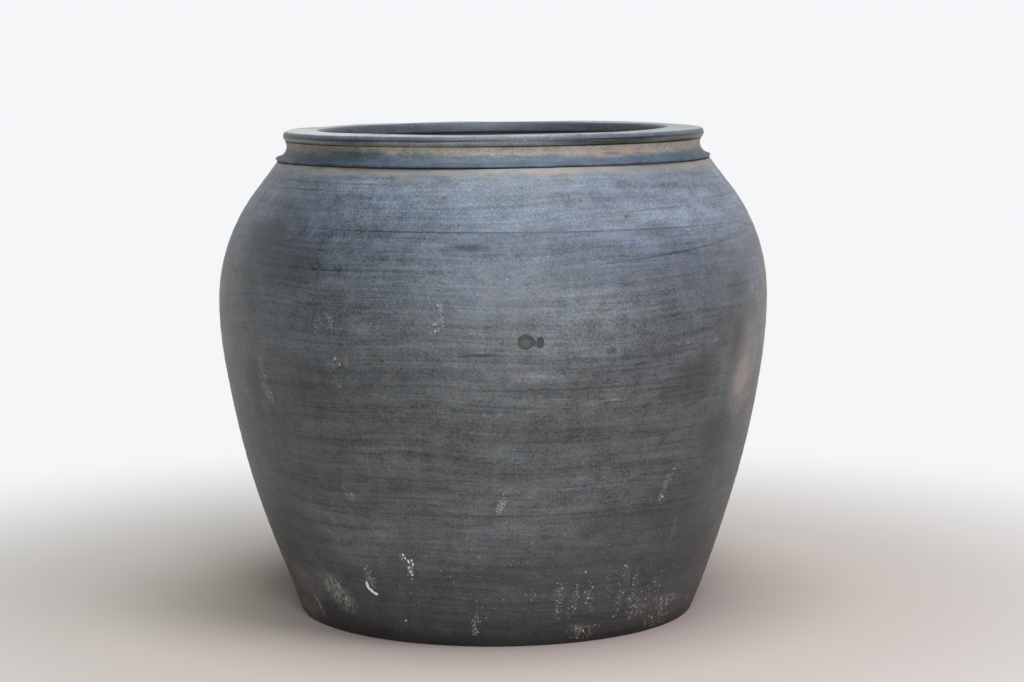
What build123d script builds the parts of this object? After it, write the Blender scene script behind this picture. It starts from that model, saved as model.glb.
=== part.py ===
from build123d import *
import math
import os

# A large, hand-built jar of black clay, fired without glaze. Sizes are in millimetres and +Z is up.
# The origin is at the middle of the foot, on the ground.
#
# The jar is raised from separate pieces of clay: a base slab, a stack of thick coils (courses) that
# are bevelled and pressed one onto the next, a collar ring and a flat rim strap. Each piece meets
# its neighbours face to face along its bevelled joint, as it does in the real wall.

# Driving sizes
belly_radius = 230.0
belly_height = 263.0
shoulder_arc = 152.0  # radius of the wall's curve above the belly, in section
shoulder_arc_turn = 37.5  # degrees of it before the wall runs straight up to the collar
belly_arc = 334.0  # just below the belly
flank_arc = 903.0  # from there to the foot, nearly straight
belly_arc_turn = 9.2  # degrees of the belly arc before the flank begins
wall = 14.0
floor_thickness = 17.0
heel_rounding = 2.5
inner_corner = 26.0  # where the floor turns up into the wall
seat_height = 379.0  # the shoulder stops here, and the collar sits on it
total_height = 404.2
joint_slope = 0.45  # each joint climbs this much for every millimetre inwards

# Heights of the joints where they reach the outer surface, from the ground up
course_tops = {
    "heel_course": 28.0,
    "foot_course": 57.0,
    "lower_wall_course": 112.0,
    "middle_wall_course": 173.0,
    "lower_belly_course": 240.0,
    "upper_belly_course": 308.0,
    "shoulder_course": 332.0,
    "top_shoulder_course": seat_height,
}

# The base slab's edge is bevelled outwards, and the heel coil is pressed against it
slab_top_radius = 134.0
slab_foot_radius = 149.0

# Collar and rim
collar_inner_top_radius = 157.0
lip_radius = 181.6  # the collar's lower lip stands out over the shoulder
lip_height = 380.9
lip_thickness = 2.2
waist_radius = 172.4
waist_height = 392.0
rim_bottom = 395.5
rim_radius = 175.0
rim_foot_radius = 172.4
foot_rise = 0.95  # the rim's outer edge starts this far above the collar
rim_nose = 4.35  # radius of its round outer edge
mouth_radius = 142.9
rim_inner_rounding = 2.0

sharp_turn = math.radians(belly_arc_turn)
flank_centre_height = belly_height + (flank_arc - belly_arc) * math.sin(sharp_turn)
flank_centre_radius = belly_radius - belly_arc - (flank_arc - belly_arc) * math.cos(sharp_turn)
steep_turn = math.radians(shoulder_arc_turn)


def neck_radius(inset):
    """Radius at which the straight top of the shoulder, less an inset, reaches the collar's seat."""
    arc_end = belly_radius - shoulder_arc + (shoulder_arc - inset) * math.cos(steep_turn)
    arc_end_height = belly_height + (shoulder_arc - inset) * math.sin(steep_turn)
    return arc_end - (seat_height - arc_end_height) * math.tan(steep_turn)


def outer_radius(height):
    """Radius of the jar's outer surface at a height below the straight top of the shoulder."""
    if height >= belly_height:
        centre = belly_radius - shoulder_arc
        return centre + math.sqrt(shoulder_arc**2 - (height - belly_height) ** 2)
    if height >= belly_height - belly_arc * math.sin(sharp_turn):
        centre = belly_radius - belly_arc
        return centre + math.sqrt(belly_arc**2 - (height - belly_height) ** 2)
    return flank_centre_radius + math.sqrt(flank_arc**2 - (height - flank_centre_height) ** 2)


def solid_section(inset, floor):
    """Half section of everything that lies inside the wall's surface less an inset, above a floor."""
    foot_turn = math.degrees(math.asin((flank_centre_height - floor) / (flank_arc - inset)))
    widest = (belly_radius - inset, belly_height)
    with BuildSketch() as section:
        with BuildLine():
            shoulder = JernArc(widest, (0, 1), shoulder_arc - inset, shoulder_arc_turn)
            belly = JernArc(widest, (0, -1), belly_arc - inset, -belly_arc_turn)
            flank = JernArc(belly @ 1, belly % 1, flank_arc - inset, belly_arc_turn - foot_turn)
            neck_end = (neck_radius(inset), seat_height)
            Polyline(flank @ 1, (0, floor), (0, seat_height), neck_end, shoulder @ 1)
        make_face()
    return section.sketch


# Half section of the whole body, x being the radius and y the height
with BuildSketch() as body_section:
    add(solid_section(0, 0))
    add(solid_section(wall, floor_thickness), mode=Mode.SUBTRACT)
    heel = body_section.vertices().group_by(Axis.Y)[0].sort_by(Axis.X)[-1]
    fillet(heel, heel_rounding)
    floor_corner = body_section.vertices().filter_by_position(
        Axis.Y, floor_thickness - 0.01, floor_thickness + 0.01
    ).sort_by(Axis.X)[-1]
    fillet(floor_corner, inner_corner)


def joint_at(height, radius):
    """Height, at a radius, of the joint that reaches the outer surface at the given height."""
    return height + joint_slope * (outer_radius(height) - radius)


def export(part, name):
    part.label = name
    export_step(part, f"parts/{name}.step")


os.makedirs("parts", exist_ok=True)

# Base slab: the disc of clay that the jar is started on
with BuildPart() as base_slab:
    with BuildSketch(Plane.XZ):
        Polygon(
            (0, 0),
            (slab_foot_radius, 0),
            (slab_top_radius, floor_thickness),
            (0, floor_thickness),
            align=None,
        )
    revolve(axis=Axis.Z)
export(base_slab.part, "base_slab")

# Courses: each is the stretch of wall between two sloping joints
inside = slab_top_radius - 20
outside = belly_radius + 20
bottom = None
for name, top in course_tops.items():
    if bottom is None:  # the heel course reaches the ground, outside the base slab
        under = [
            (slab_top_radius, floor_thickness),
            (slab_foot_radius, 0),
            (outside, 0),
        ]
        inner_end = slab_top_radius
    else:
        under = [(inside, joint_at(bottom, inside)), (outside, joint_at(bottom, outside))]
        inner_end = inside
    if top == seat_height:
        over = [(outside, top), (inner_end, top)]
    else:
        over = [(outside, joint_at(top, outside)), (inner_end, joint_at(top, inner_end))]
    with BuildPart() as course:
        with BuildSketch(Plane.XZ):
            add(body_section.sketch_local)
            Polygon(*under, *over, align=None, mode=Mode.INTERSECT)
        revolve(axis=Axis.Z)
    export(course.part, name)
    bottom = top

# Collar: a ring with a hollow waist, whose lower lip stands out over the shoulder
lip_top = (lip_radius - lip_thickness / 2, lip_height + lip_thickness / 2)
lip_under = (lip_radius - lip_thickness / 2, lip_height - lip_thickness / 2)
cove_width = lip_top[0] - waist_radius
cove_radius = (cove_width**2 + (waist_height - lip_top[1]) ** 2) / (2 * cove_width)
cove_rise = rim_bottom - waist_height
collar_top_radius = waist_radius + cove_radius - math.sqrt(cove_radius**2 - cove_rise**2)
with BuildPart() as collar_ring:
    with BuildSketch(Plane.XZ):
        with BuildLine():
            Polyline(
                lip_under,
                (neck_radius(0), seat_height),
                (neck_radius(wall), seat_height),
                (collar_inner_top_radius, rim_bottom),
                (collar_top_radius, rim_bottom),
            )
            ThreePointArc((collar_top_radius, rim_bottom), (waist_radius, waist_height), lip_top)
            ThreePointArc(lip_top, (lip_radius, lip_height), lip_under)
        make_face()
    revolve(axis=Axis.Z)
export(collar_ring.part, "collar_ring")

# Rim: a flat strap of clay laid on the collar, with a round outer edge, overhanging the mouth
nose_middle = (rim_bottom + total_height) / 2
nose_foot = (
    rim_radius - rim_nose + math.sqrt(rim_nose**2 - (nose_middle - rim_bottom - foot_rise) ** 2),
    rim_bottom + foot_rise,
)
nose_top = (rim_radius - rim_nose, total_height)
with BuildPart() as rim_flange:
    with BuildSketch(Plane.XZ) as rim_flange_section:
        with BuildLine():
            Polyline(nose_top, (mouth_radius, total_height), (mouth_radius, rim_bottom))
            Polyline((mouth_radius, rim_bottom), (rim_foot_radius, rim_bottom), nose_foot)
            ThreePointArc(nose_foot, (rim_radius, nose_middle), nose_top)
        make_face()
        fillet(rim_flange_section.vertices().group_by(Axis.X)[0], rim_inner_rounding)
    revolve(axis=Axis.Z)
export(rim_flange.part, "rim_flange")
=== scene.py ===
import math

import bpy
import numpy as np
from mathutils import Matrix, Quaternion, Vector


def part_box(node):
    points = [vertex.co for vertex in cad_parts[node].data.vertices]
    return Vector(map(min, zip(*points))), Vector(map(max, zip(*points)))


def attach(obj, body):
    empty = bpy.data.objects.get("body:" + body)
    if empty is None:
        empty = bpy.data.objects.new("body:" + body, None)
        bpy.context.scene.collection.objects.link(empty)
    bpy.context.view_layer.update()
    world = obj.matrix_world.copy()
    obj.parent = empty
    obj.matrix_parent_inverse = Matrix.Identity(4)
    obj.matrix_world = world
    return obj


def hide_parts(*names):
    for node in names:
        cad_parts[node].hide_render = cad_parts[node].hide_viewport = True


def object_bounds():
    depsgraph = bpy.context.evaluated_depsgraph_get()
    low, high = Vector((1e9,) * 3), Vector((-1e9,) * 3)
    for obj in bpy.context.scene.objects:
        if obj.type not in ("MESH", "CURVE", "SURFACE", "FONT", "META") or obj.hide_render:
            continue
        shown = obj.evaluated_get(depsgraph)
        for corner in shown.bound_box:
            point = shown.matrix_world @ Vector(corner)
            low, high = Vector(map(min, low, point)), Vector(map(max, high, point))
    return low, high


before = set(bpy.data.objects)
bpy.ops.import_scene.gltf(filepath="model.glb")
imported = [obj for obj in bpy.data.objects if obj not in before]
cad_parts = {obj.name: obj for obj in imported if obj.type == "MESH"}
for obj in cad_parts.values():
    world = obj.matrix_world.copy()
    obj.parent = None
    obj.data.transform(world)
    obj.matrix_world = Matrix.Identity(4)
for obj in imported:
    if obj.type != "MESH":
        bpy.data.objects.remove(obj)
cad_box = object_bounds()

# --------------------------------------
# Base slab
# A thick disc of clay, beaten flat on sandy ground, that the jar is started on. Its edge is
# bevelled, and the first coil is pressed against the bevel. The underside keeps the sand's print.
# --------------------------------------
slab_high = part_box("base_slab")[1]
slab_top = slab_high.z
slab_foot_radius = slab_high.x
slab_top_radius = 0.134
foot_hollow = 0.0016  # the slab shrinks up from the ground in its middle as it dries
columns = 720  # steps round the jar
jar_height = cad_box[1].z
lean = 0.0014  # how far the foot stands to one side of the mouth
rim_slope = 0.0045  # the rim is out of level by this much for each metre across
out_of_round = 0.0046  # share by which the rim is wider to the sides
round_angles = np.arange(columns) * 2 * math.pi / columns


def ease(low, high, value):
    """0 below low, 1 above high, and a smooth change between."""
    t = np.clip((value - low) / (high - low), 0, 1)
    return t * t * (3 - 2 * t)


def uneven(angle, height, seed, lumps, waves, tall):
    """Smooth hand-made unevenness from -1 to 1: up to `lumps` bumps round, and `tall` metres high."""
    pick = np.random.default_rng(seed)
    total = np.zeros(np.broadcast(angle, height).shape)
    for _ in range(waves):
        turns = pick.integers(0, lumps + 1)
        climb = pick.uniform(-1, 1) * 2 * math.pi / tall
        total += np.cos(turns * angle + climb * height + pick.uniform(0, 2 * math.pi))
    return total / math.sqrt(waves / 2) / 2


def hand_shaped(radius, angle, height):
    """Where a point of the true turned shape ends up on the real jar: leaning, out of round, off level."""
    up = height / jar_height
    radius = radius * (
        1
        - out_of_round * np.cos(2 * angle) * ease(0.90, 1.0, up)
        + 0.0012 * np.cos(3 * angle - 1.1)
        + 0.0010 * uneven(angle, height, 3, 5, 8, 0.3)
    )
    x = radius * np.sin(angle) + lean * ease(0.45, 0.0, up) + 0.0007 * ease(0.6, 0.9, up)
    y = -radius * np.cos(angle)
    z = height + rim_slope * x * ease(0.75, 1.0, up)
    return np.stack([x, y, z], axis=-1)


def section_normals(points):
    """Outward normals of an open run of section points that is drawn with the clay on its left."""
    along = np.gradient(points, axis=0)
    along /= np.linalg.norm(along, axis=1, keepdims=True)
    return np.stack([along[:, 1], -along[:, 0]], axis=1)


def skin(points, relief):
    """Rows of surface points all round, from section points (radius, height) and a relief in metres."""
    out = section_normals(points)
    angle = round_angles[None, :]
    radius, height = points[:, :1], points[:, 1:]
    lift = relief(angle, height, radius)
    return hand_shaped(radius + out[:, :1] * lift, angle, height + out[:, 1:] * lift)


def face_between(last, first, steps):
    """Rows across a joint face, from the end of one skin to the start of the next."""
    shares = np.linspace(0, 1, steps + 1)[1:-1, None, None]
    return last[None] * (1 - shares) + first[None] * shares


def clay_piece(name, rows, ends="ring", sharp=40):
    """Mesh object from rows of points: a closed ring, or a disc whose end rows close to a point."""
    count = len(rows)
    points = rows.reshape(-1, 3)
    row = np.arange(count if ends == "ring" else count - 1)[:, None]
    next_column = (np.arange(columns) + 1) % columns
    here = (row * columns + np.arange(columns)).ravel()
    beside = (row * columns + next_column).ravel()
    above = ((row + 1) % count * columns + np.arange(columns)).ravel()
    above_beside = ((row + 1) % count * columns + next_column).ravel()
    faces = np.stack([here, beside, above_beside, above], axis=1).tolist()
    if ends == "disc":
        for edge, flip in ((0, True), (count - 1, False)):
            centre = len(points)
            points = np.vstack([points, rows[edge].mean(axis=0)])
            for i in range(columns):
                a, b = edge * columns + i, edge * columns + (i + 1) % columns
                faces.append([b, a, centre] if flip else [a, b, centre])
    mesh = bpy.data.meshes.new(name)
    mesh.from_pydata(points.tolist(), [], faces)
    mesh.polygons.foreach_set("use_smooth", [True] * len(mesh.polygons))
    mesh.set_sharp_from_angle(angle=math.radians(sharp))
    mesh.update()
    piece = bpy.data.objects.new(name, mesh)
    bpy.context.scene.collection.objects.link(piece)
    return piece


def finish_piece(piece, node, slot, *materials):
    """Gives a piece its materials, and lets it stand for its CAD node."""
    for material in materials:
        piece.data.materials.append(material)
    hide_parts(node)
    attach(piece, "root")


def put(tree, kind, inputs=None, **settings):
    """Adds a shader node with its settings. Inputs are numbers, colours or other nodes' outputs."""
    node = tree.nodes.new(kind)
    for key, value in settings.items():
        setattr(node, key, value)
    for key, value in (inputs or {}).items():
        if isinstance(value, bpy.types.NodeSocket):
            tree.links.new(value, node.inputs[key])
        else:
            node.inputs[key].default_value = value
    return node


def calc(tree, operation, *values, clamp=False):
    """A Math node's result."""
    inputs = dict(enumerate(values))
    return put(tree, "ShaderNodeMath", inputs, operation=operation, use_clamp=clamp).outputs[0]


def plus(tree, first, second):
    """Two signals added."""
    return calc(tree, "ADD", first, second)


def times(tree, first, second):
    """Two signals multiplied."""
    return calc(tree, "MULTIPLY", first, second)


def less(tree, share):
    """What is left of a whole."""
    return calc(tree, "SUBTRACT", 1.0, share)


def ramp(tree, value, low, high, start=0.0, end=1.0):
    """A smooth change from start to end as value goes from low to high."""
    inputs = {"Value": value, "From Min": low, "From Max": high, "To Min": start, "To Max": end}
    return put(tree, "ShaderNodeMapRange", inputs, interpolation_type="SMOOTHSTEP").outputs[0]


def total(tree, start, *parts):
    """A number plus several signals, each given as (signal, weight) and centred on a half."""
    for signal, weight in parts:
        start = plus(tree, start, times(tree, calc(tree, "SUBTRACT", signal, 0.5), weight))
    return start


def blend(tree, share, under, over):
    """One colour laid over another."""
    under = under if isinstance(under, bpy.types.NodeSocket) else (*under, 1)
    over = over if isinstance(over, bpy.types.NodeSocket) else (*over, 1)
    return put(tree, "ShaderNodeMix", {0: share, 6: under, 7: over}, data_type="RGBA").outputs[2]


def dim(tree, colour, factor):
    """A colour made darker or lighter by a factor."""
    return put(tree, "ShaderNodeVectorMath", {0: colour, "Scale": factor}, operation="SCALE").outputs[0]


def tinted(tree, colour, warmth):
    """A colour made a little warmer or colder."""
    return put(tree, "ShaderNodeVectorMath", {0: colour, 1: warmth}, operation="MULTIPLY").outputs[0]


def ladder(tree, value, *stops):
    """Colours that follow one another as value climbs. Each stop is a value and its colour."""
    low, high = stops[0][0], stops[-1][0]
    share = calc(tree, "DIVIDE", calc(tree, "SUBTRACT", value, low), high - low, clamp=True)
    node = put(tree, "ShaderNodeValToRGB", {0: share})
    steps = node.color_ramp.elements
    for _ in stops[2:]:
        steps.new(0.5)
    for step, (at, colour) in zip(steps, stops):
        step.position = (at - low) / (high - low)
        step.color = (*colour, 1)
    return node.outputs[0]


def new_group(name, takes, gives):
    """An empty shader group with named sockets. Returns the group, its input sockets and its end node."""
    group = bpy.data.node_groups.new(name, "ShaderNodeTree")
    for socket, kind, value in takes:
        made = group.interface.new_socket(socket, in_out="INPUT", socket_type="NodeSocket" + kind)
        if value is not None:
            made.default_value = value
    for socket, kind in gives:
        group.interface.new_socket(socket, in_out="OUTPUT", socket_type="NodeSocket" + kind)
    start = group.nodes.new("NodeGroupInput")
    return group, start.outputs, group.nodes.new("NodeGroupOutput")


def give(group, end, **results):
    """Joins a group's results to its output sockets."""
    for name, value in results.items():
        group.links.new(value, end.inputs[name])


def use(tree, group, **inputs):
    """Places a group in a tree and returns its outputs. Its input sockets are given in lower case."""
    node = tree.nodes.new("ShaderNodeGroup")
    node.node_tree = group
    for key, value in inputs.items():
        socket = node.inputs[key.replace("_", " ").title()]
        if isinstance(value, bpy.types.NodeSocket):
            tree.links.new(value, socket)
        else:
            socket.default_value = value
    return node.outputs


def stretched(tree, place, round_scale, up_scale):
    """The place vector scaled one way round the jar and another way up it."""
    inputs = {0: place, 1: (round_scale, round_scale, up_scale)}
    return put(tree, "ShaderNodeVectorMath", inputs, operation="MULTIPLY").outputs[0]


def noise(tree, vector, scale=1.0, detail=2.0, roughness=0.5):
    """Noise from 0 to 1."""
    inputs = {"Vector": vector, "Scale": scale, "Detail": detail, "Roughness": roughness}
    return put(tree, "ShaderNodeTexNoise", inputs).outputs["Fac"]


# Where a point lies on the jar: its turn in degrees from the front, its height and its radius in mm
tree, takes, end = new_group(
    "where_on_jar",
    [("Place", "Vector", None)],
    [("Turn", "Float"), ("Height", "Float"), ("Radius", "Float")],
)
where_group = tree
way = put(tree, "ShaderNodeSeparateXYZ", {0: takes["Place"]}).outputs
away = times(tree, way["Y"], -1.0)
turn = times(tree, calc(tree, "ARCTAN2", way["X"], away), 180 / math.pi)
height = times(tree, way["Z"], 1000.0)
level = stretched(tree, takes["Place"], 1000.0, 0.0)
reach = put(tree, "ShaderNodeVectorMath", {0: level}, operation="LENGTH").outputs["Value"]
give(tree, end, Turn=turn, Height=height, Radius=reach)

# Fired clay close up: smoke clouds, mottling, sandy grain, warmer and colder patches, and the height
# of the grain and its open pores in mm
tree, takes, end = new_group(
    "clay_grain",
    [("Place", "Vector", None), ("Coarseness", "Float", 1.0)],
    [("Clouds", "Float"), ("Mottle", "Float"), ("Grain", "Float"), ("Warmth", "Color"), ("Height", "Float")],
)
clay_group = tree
clouds = noise(tree, stretched(tree, takes["Place"], 9.0, 15.0), detail=5.0, roughness=0.6)
mottle = noise(tree, stretched(tree, takes["Place"], 62.0, 96.0), detail=6.0, roughness=0.72)
fine_scale = calc(tree, "DIVIDE", 620.0, takes["Coarseness"])
grain = noise(tree, takes["Place"], fine_scale, detail=3.0, roughness=0.75)
warmth = noise(tree, takes["Place"], 95.0, detail=4.0, roughness=0.7)
warmth = ladder(tree, warmth, (0.3, (0.92, 1.0, 1.10)), (0.7, (1.08, 1.0, 0.90)))
pore_scale = calc(tree, "DIVIDE", 330.0, takes["Coarseness"])
cells = put(tree, "ShaderNodeTexVoronoi", {"Vector": takes["Place"], "Scale": pore_scale}).outputs
chosen = put(tree, "ShaderNodeSeparateColor", {0: cells["Color"]}).outputs[0]
chosen = ramp(tree, chosen, 0.88, 0.92)
pores = times(tree, chosen, ramp(tree, cells["Distance"], 0.05, 0.26, 1.0, 0.0))
height = calc(tree, "SUBTRACT", times(tree, grain, 0.10), times(tree, pores, 0.22))
give(tree, end, Clouds=clouds, Mottle=mottle, Grain=grain, Warmth=warmth, Height=height)

# Lines left by turning the jar under a wet hand and a scraper, all of them nearly level, and the
# upright rubs of the cloth across them
tree, takes, end = new_group(
    "turning_lines",
    [("Place", "Vector", None)],
    [("Fine", "Float"), ("Broad", "Float"), ("Scores", "Float"), ("Rubs", "Float")],
)
lines_group = tree
sway = calc(tree, "SUBTRACT", noise(tree, takes["Place"], 5.0, detail=1.0), 0.5)
sway = put(tree, "ShaderNodeCombineXYZ", {2: times(tree, sway, 0.022)}).outputs[0]
swayed = put(tree, "ShaderNodeVectorMath", {0: takes["Place"], 1: sway}, operation="ADD").outputs[0]
fine = noise(tree, stretched(tree, swayed, 9.0, 420.0), detail=3.0, roughness=0.65)
broad = noise(tree, stretched(tree, swayed, 5.0, 75.0), detail=4.0, roughness=0.6)
score = noise(tree, stretched(tree, swayed, 3.2, 120.0), detail=1.0)
score = calc(tree, "ABSOLUTE", calc(tree, "SUBTRACT", score, 0.5))
gaps = ramp(tree, noise(tree, takes["Place"], 13.0, detail=3.0), 0.50, 0.60)
scores = times(tree, ramp(tree, score, 0.0, 0.022, 1.0, 0.0), gaps)
rubs = noise(tree, stretched(tree, takes["Place"], 95.0, 9.0), detail=3.0, roughness=0.6)
give(tree, end, Fine=fine, Broad=broad, Scores=scores, Rubs=rubs)

# Flecks of lime or grit that stuck to the clay, as many as the density allows
tree, takes, end = new_group(
    "flecks",
    [("Place", "Vector", None), ("Density", "Float", 0.0), ("Size", "Float", 2.0)],
    [("Mask", "Float"), ("Pick", "Float")],
)
fleck_group = tree
shake = {"Vector": takes["Place"], "Scale": 900.0, "Detail": 2.0}
ragged = dim(tree, put(tree, "ShaderNodeTexNoise", shake).outputs["Color"], 0.0022)
shaken = put(tree, "ShaderNodeVectorMath", {0: takes["Place"], 1: ragged}, operation="ADD").outputs[0]
scale = calc(tree, "DIVIDE", 1000.0, takes["Size"])
cells = put(tree, "ShaderNodeTexVoronoi", {"Vector": shaken, "Scale": scale}).outputs
picks = put(tree, "ShaderNodeSeparateColor", {0: cells["Color"]}).outputs
chosen = calc(tree, "LESS_THAN", picks[0], takes["Density"])
size = plus(tree, times(tree, picks[1], 0.35), 0.18)
near = calc(tree, "DIVIDE", cells["Distance"], size)
mask = times(tree, chosen, ramp(tree, near, 0.75, 1.15, 1.0, 0.0))
give(tree, end, Mask=mask, Pick=picks[2])

# A soft-edged oval laid on the jar, for stains and for where flecks gather. It adds to what is under it
tree, takes, end = new_group(
    "patch",
    [("Under", "Float", 0.0), ("Turn", "Float", 0.0), ("Height", "Float", 0.0), ("At Turn", "Float", 0.0),
     ("At Height", "Float", 0.0), ("Half Width", "Float", 3.0), ("Half Height", "Float", 10.0),
     ("Slant", "Float", 0.0), ("Strength", "Float", 1.0)],
    [("Mask", "Float")],
)
patch_group = tree
aside = calc(tree, "SUBTRACT", takes["Turn"], takes["At Turn"])
above = calc(tree, "SUBTRACT", takes["Height"], takes["At Height"])
above = calc(tree, "SUBTRACT", above, times(tree, aside, takes["Slant"]))
aside = calc(tree, "POWER", calc(tree, "DIVIDE", aside, takes["Half Width"]), 2.0)
above = calc(tree, "POWER", calc(tree, "DIVIDE", above, takes["Half Height"]), 2.0)
mask = ramp(tree, plus(tree, aside, above), 0.0, 1.0, 1.0, 0.0)
mask = times(tree, mask, takes["Strength"])
give(tree, end, Mask=calc(tree, "MAXIMUM", mask, takes["Under"]))


def marks(tree, where, *spots):
    """Several soft ovals: turn, height, half width, half height, strength, and slant if not level."""
    if len(spots) > 12:
        return calc(tree, "MAXIMUM", marks(tree, where, *spots[:12]), marks(tree, where, *spots[12:]))
    mask = 0.0
    for turn, height, wide, tall, strength, *slant in spots:
        spot = use(tree, patch_group, under=mask, turn=where["Turn"], height=where["Height"],
                   at_turn=turn, at_height=height, half_width=wide, half_height=tall,
                   slant=sum(slant), strength=strength)
        mask = spot["Mask"]
    return mask


def clay_material(name, rough):
    """A plain start for each clay finish: its tree, its shader, and where on the jar each point is."""
    material = bpy.data.materials.new(name)
    material.use_nodes = True
    tree = material.node_tree
    tree.nodes.clear()
    place = put(tree, "ShaderNodeTexCoord").outputs["Object"]
    shader = put(tree, "ShaderNodeBsdfPrincipled", {"Roughness": rough, "IOR": 1.5})
    put(tree, "ShaderNodeOutputMaterial", {"Surface": shader.outputs[0]})
    return material, tree, shader, place, use(tree, where_group, place=place)


def join_shader(tree, shader, tone, height, rough=None):
    """Gives the shader its colour, its relief in mm, and its roughness."""
    tree.links.new(tone, shader.inputs["Base Color"])
    bump = put(tree, "ShaderNodeBump", {"Strength": 1.0, "Distance": 0.001, "Height": height})
    tree.links.new(bump.outputs[0], shader.inputs["Normal"])
    if rough is not None:
        tree.links.new(rough, shader.inputs["Roughness"])


def slab_top_relief(angle, height, radius):
    """The beaten floor is a little wavy."""
    return 0.0006 * uneven(angle, radius, 11, 5, 10, 0.12)


def no_relief(angle, height, radius):
    """A face left as it was turned."""
    return 0.0 * angle * height


foot_material, tree, shader, place, where = clay_material("sandy_foot_clay", 0.85)
clay = use(tree, clay_group, place=place, coarseness=2.2)
tone = ladder(
    tree, clay["Clouds"],
    (0.3, (0.040, 0.037, 0.035)), (0.5, (0.062, 0.058, 0.055)), (0.7, (0.095, 0.088, 0.080)),
)
tone = dim(tree, tone, total(tree, 1.0, (clay["Grain"], 0.9)))
sand = use(tree, fleck_group, place=place, density=0.16, size=2.4)
tone = blend(tree, times(tree, sand["Mask"], 0.6), tone, (0.26, 0.22, 0.17))
height = plus(tree, times(tree, clay["Height"], 3.0), times(tree, sand["Mask"], 0.3))
join_shader(tree, shader, tone, height)

floor_radii = np.linspace(0.004, slab_top_radius, 30)
under_radii = np.linspace(slab_foot_radius, 0.004, 34)
sunk = foot_hollow * ease(1.0, 0.5, under_radii / slab_foot_radius)
floor_rows = skin(np.stack([floor_radii, np.full(30, slab_top)], axis=1)[::-1], slab_top_relief)[::-1]
under_rows = skin(np.stack([under_radii, sunk], axis=1), no_relief)
slab_rows = np.concatenate([floor_rows, face_between(floor_rows[-1], under_rows[0], 4), under_rows])
base_slab = clay_piece("base_slab_clay", slab_rows, ends="disc")
finish_piece(base_slab, "base_slab", "foot_clay", foot_material)

# --------------------------------------
# Wall courses
# Eight thick coils of clay. Each is bevelled and pressed onto the one below, then the whole wall is
# beaten and scraped thin from outside while it turns, which leaves level lines over the joints.
# Fired in smoke it comes out black at the foot and slate blue at the shoulder. Its colour also holds painted
# shade at the heel and a painted blue sky sheen on the shoulder.
# --------------------------------------
courses = ["heel_course", "foot_course", "lower_wall_course", "middle_wall_course", "lower_belly_course",
           "upper_belly_course", "shoulder_course", "top_shoulder_course"]
seat_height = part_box("collar_ring")[0].z
joints = [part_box(name)[0].z for name in courses[1:]]
course_ends = [0.0, *joints, seat_height]
belly_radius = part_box("upper_belly_course")[1].x
belly_height = 0.263
shoulder_arc = 0.152
steep_turn = math.radians(37.5)  # of that arc, before the wall runs straight up to the collar
belly_arc = 0.334
flank_arc = 0.903
belly_arc_turn = math.radians(9.2)
wall = 0.014
joint_slope = 0.45
heel_rounding = 0.0025
inner_corner = 0.026
outer_step = 0.0009
inner_step = 0.0036
heel_step = 0.0012
flank_height = belly_height + (flank_arc - belly_arc) * math.sin(belly_arc_turn)
flank_radius = belly_radius - belly_arc - (flank_arc - belly_arc) * math.cos(belly_arc_turn)


def wall_radius(height, inset=0.0):
    """Radius of the wall's surface at a height, or of the surface an inset further in."""
    height = np.asarray(height, float)
    over = np.sqrt(np.maximum((shoulder_arc - inset) ** 2 - (height - belly_height) ** 2, 0))
    arc_end = belly_height + (shoulder_arc - inset) * math.sin(steep_turn)
    straight = (shoulder_arc - inset) * math.cos(steep_turn) - (height - arc_end) * math.tan(steep_turn)
    over = np.where(height > arc_end, straight, over)
    under = np.sqrt((belly_arc - inset) ** 2 - (height - belly_height) ** 2)
    flank = np.sqrt((flank_arc - inset) ** 2 - (height - flank_height) ** 2)
    bend = belly_height - (belly_arc - inset) * math.sin(belly_arc_turn)
    lower = np.where(height > bend, belly_radius - belly_arc + under, flank_radius + flank)
    return np.where(height > belly_height, belly_radius - shoulder_arc + over, lower)


def inner_end(joint):
    """Height at which the joint that starts at a height outside comes out on the inner surface."""
    height = joint
    for _ in range(12):
        height = joint + joint_slope * float(wall_radius(joint) - wall_radius(height, wall))
    return height


def arc(centre, radius, start, stop, count):
    """Section points on an arc, angles in degrees from the outward direction."""
    turn = np.radians(np.linspace(start, stop, count))
    return np.stack([centre[0] + radius * np.cos(turn), centre[1] + radius * np.sin(turn)], axis=1)


def upright_run(bottom, top, step, inset=0.0):
    """Section points up the wall's surface, or up the surface an inset further in."""
    heights = np.linspace(bottom, top, max(3, round((top - bottom) / step)))
    return np.stack([wall_radius(heights, inset), heights], axis=1)


def heel_outside():
    """From the slab's bevel, over the contact ring and the rounded heel, up to the first joint."""
    middle = flank_radius + math.sqrt((flank_arc - heel_rounding) ** 2 - (flank_height - heel_rounding) ** 2)
    tilt = -math.degrees(math.asin((flank_height - heel_rounding) / (flank_arc - heel_rounding)))
    ground = np.stack([np.linspace(slab_foot_radius, middle, 6), np.zeros(6)], axis=1)
    turned = arc((middle, heel_rounding), heel_rounding, -90, tilt, 6)
    return np.concatenate([ground[:-1], turned[:-1], upright_run(turned[-1][1], joints[0], outer_step)])


def heel_inside():
    """From the floor's edge, round the inner corner, up to where the first joint comes out."""
    level = slab_top + inner_corner
    reach = flank_arc - wall - inner_corner
    middle = flank_radius + math.sqrt(reach**2 - (flank_height - level) ** 2)
    tilt = -math.degrees(math.asin((flank_height - level) / reach))
    ledge = np.stack([np.linspace(slab_top_radius, middle, 3), np.full(3, slab_top)], axis=1)
    turned = arc((middle, level), inner_corner, -90, tilt, 14)
    upright = upright_run(turned[-1][1], inner_end(joints[0]), heel_step, wall)
    return np.concatenate([ledge[:-1], turned[:-1], upright])


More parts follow.
